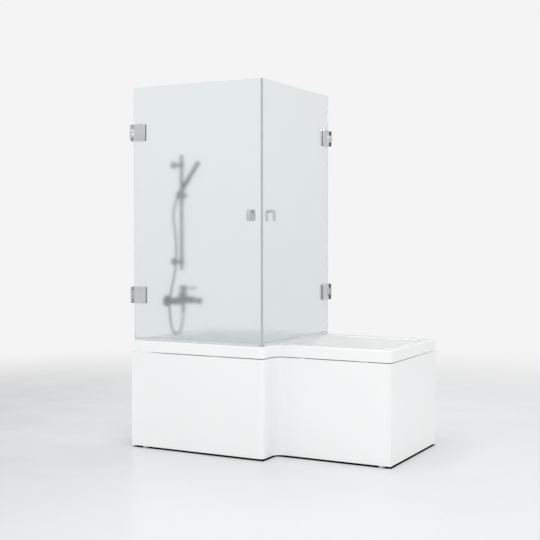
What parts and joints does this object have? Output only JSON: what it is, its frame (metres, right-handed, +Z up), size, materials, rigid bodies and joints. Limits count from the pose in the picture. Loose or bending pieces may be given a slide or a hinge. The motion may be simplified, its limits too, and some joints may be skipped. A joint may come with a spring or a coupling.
{
  "type": "corner shower enclosure",
  "caption": "Corner shower enclosure: an L-shaped panelled shower bath with two hinged frosted-glass doors, chrome pulls and hinges, and a wall mixer with rail and hand shower.",
  "frame": {"origin": "room corner on the floor, where the left wall, the back wall and the floor meet", "axes": "+X right along the back wall, +Y into the back wall so that the front faces -Y, +Z up"},
  "size_m": [1.5, 0.864, 2.0164],
  "materials": {
    "bath_white": "glossy white sanitary acrylic",
    "panel_white": "white acrylic, soft gloss",
    "board": "bare chipboard",
    "cradle_steel": "zinc-plated steel",
    "foot_plastic": "light grey plastic",
    "fixing_plastic": "plain plastic",
    "pipe_plastic": "white waste-pipe plastic",
    "frosted_glass": "acid-etched safety glass, pale green-grey",
    "gasket_rubber": "dark gasket",
    "seal": "grey translucent seal strip",
    "spray_plastic": "light grey plastic with nozzles",
    "hose_chrome": "smooth silver hose",
    "chrome": "polished chrome"
  },
  "bodies": {
    "bath_and_wall_fittings": {"base_board": "board", "bath_shell": "bath_white", "cradle_bars": "cradle_steel", "end_panel": "panel_white", "foot_nuts": "cradle_steel", "front_lower_wall_plate": "chrome", "front_panel": "panel_white", "front_upper_wall_plate": "chrome", "levelling_feet": "foot_plastic", "mixer_body": "chrome", "outlet_nut": "chrome", "overflow_pipe": "pipe_plastic", "panel_clips": "fixing_plastic", "panel_feet": "foot_plastic", "rail_brackets": "chrome", "riser_rail": "chrome", "shower_hose": "hose_chrome", "side_lower_wall_plate": "chrome", "side_upper_wall_plate": "chrome", "wall_covers": "chrome", "wall_unions": "chrome", "waste_flange": "chrome", "waste_trap": "pipe_plastic"},
    "front_door": {"front_clamp_screws": "cradle_steel", "front_corner_seal": "seal", "front_drip_seal": "seal", "front_glass": "frosted_glass", "front_hinge_gaskets": "gasket_rubber", "front_hinge_pins": "chrome", "front_inner_pull": "chrome", "front_lower_inner_clamp": "chrome", "front_lower_outer_clamp": "chrome", "front_outer_pull": "chrome", "front_pull_screws": "cradle_steel", "front_upper_inner_clamp": "chrome", "front_upper_outer_clamp": "chrome"},
    "side_door": {"side_clamp_screws": "cradle_steel", "side_corner_seal": "seal", "side_drip_seal": "seal", "side_glass": "frosted_glass", "side_hinge_gaskets": "gasket_rubber", "side_hinge_pins": "chrome", "side_inner_pull": "chrome", "side_lower_inner_clamp": "chrome", "side_lower_outer_clamp": "chrome", "side_outer_pull": "chrome", "side_pull_screws": "cradle_steel", "side_upper_inner_clamp": "chrome", "side_upper_outer_clamp": "chrome"},
    "waste_plug": {"waste_plug": "chrome"},
    "overflow_knob": {"overflow_knob": "chrome"},
    "lever_spindle": {"lever_spindle": "cradle_steel"},
    "mixer_lever": {"mixer_lever": "chrome"},
    "diverter_collar": {"diverter_collar": "chrome"},
    "rail_slider": {"rail_slider": "chrome"},
    "slider_knob": {"slider_knob": "chrome"},
    "handset_holder": {"handset_holder": "chrome"},
    "hand_shower": {"hand_shower": "chrome", "spray_plate": "spray_plastic", "handset_nut": "chrome"}
  },
  "joints": [
    {"name": "front_door_swing", "type": "hinge", "parent": "bath_and_wall_fittings", "child": "front_door", "pos_m": [0.034, -0.836, 1.3], "axis": [0, 0, -1], "range_deg": [0, 85]},
    {"name": "side_door_swing", "type": "hinge", "parent": "bath_and_wall_fittings", "child": "side_door", "pos_m": [0.826, -0.034, 1.3], "axis": [0, 0, 1], "range_deg": [0, 85]},
    {"name": "overflow_knob_turn", "type": "hinge", "parent": "bath_and_wall_fittings", "child": "overflow_knob", "pos_m": [0.095, -0.43, 0.515], "axis": [1, 0, 0], "range_deg": [0, 120]},
    {"name": "waste_plug_lift", "type": "slide", "parent": "bath_and_wall_fittings", "child": "waste_plug", "axis": [0, 0, 1], "range_m": [0, 0.01]},
    {"name": "lever_turn", "type": "hinge", "parent": "bath_and_wall_fittings", "child": "lever_spindle", "pos_m": [0.07, -0.418, 0.857], "axis": [0, 0, 1], "range_deg": [-50, 50]},
    {"name": "lever_lift", "type": "hinge", "parent": "lever_spindle", "child": "mixer_lever", "pos_m": [0.07, -0.418, 0.878], "axis": [0, -1, 0], "range_deg": [0, 15]},
    {"name": "diverter_turn", "type": "hinge", "parent": "bath_and_wall_fittings", "child": "diverter_collar", "pos_m": [0.126, -0.418, 0.808], "axis": [1, 0, 0], "range_deg": [0, 90]},
    {"name": "slider_slide", "type": "slide", "parent": "bath_and_wall_fittings", "child": "rail_slider", "axis": [0, 0, 1], "range_m": [-0.35, 0.14], "deforming": ["shower_hose"]},
    {"name": "slider_knob_turn", "type": "hinge", "parent": "rail_slider", "child": "slider_knob", "pos_m": [0.061, -0.3975, 1.43], "axis": [0, 1, 0], "range_deg": [0, 180]},
    {"name": "holder_tilt", "type": "hinge", "parent": "rail_slider", "child": "handset_holder", "pos_m": [0.067, -0.456, 1.43], "axis": [0, 1, 0], "range_deg": [-35, 25], "deforming": ["shower_hose"]},
    {"name": "hand_shower_lift", "type": "slide", "parent": "handset_holder", "child": "hand_shower", "axis": [0.5807, 0, 0.8141], "range_m": [0, 0.03], "deforming": ["shower_hose"]}
  ],
  "couplings": [
    {"joint": "waste_plug_lift", "follows": "overflow_knob_turn", "m_per_rad": 0.0047746}
  ]
}
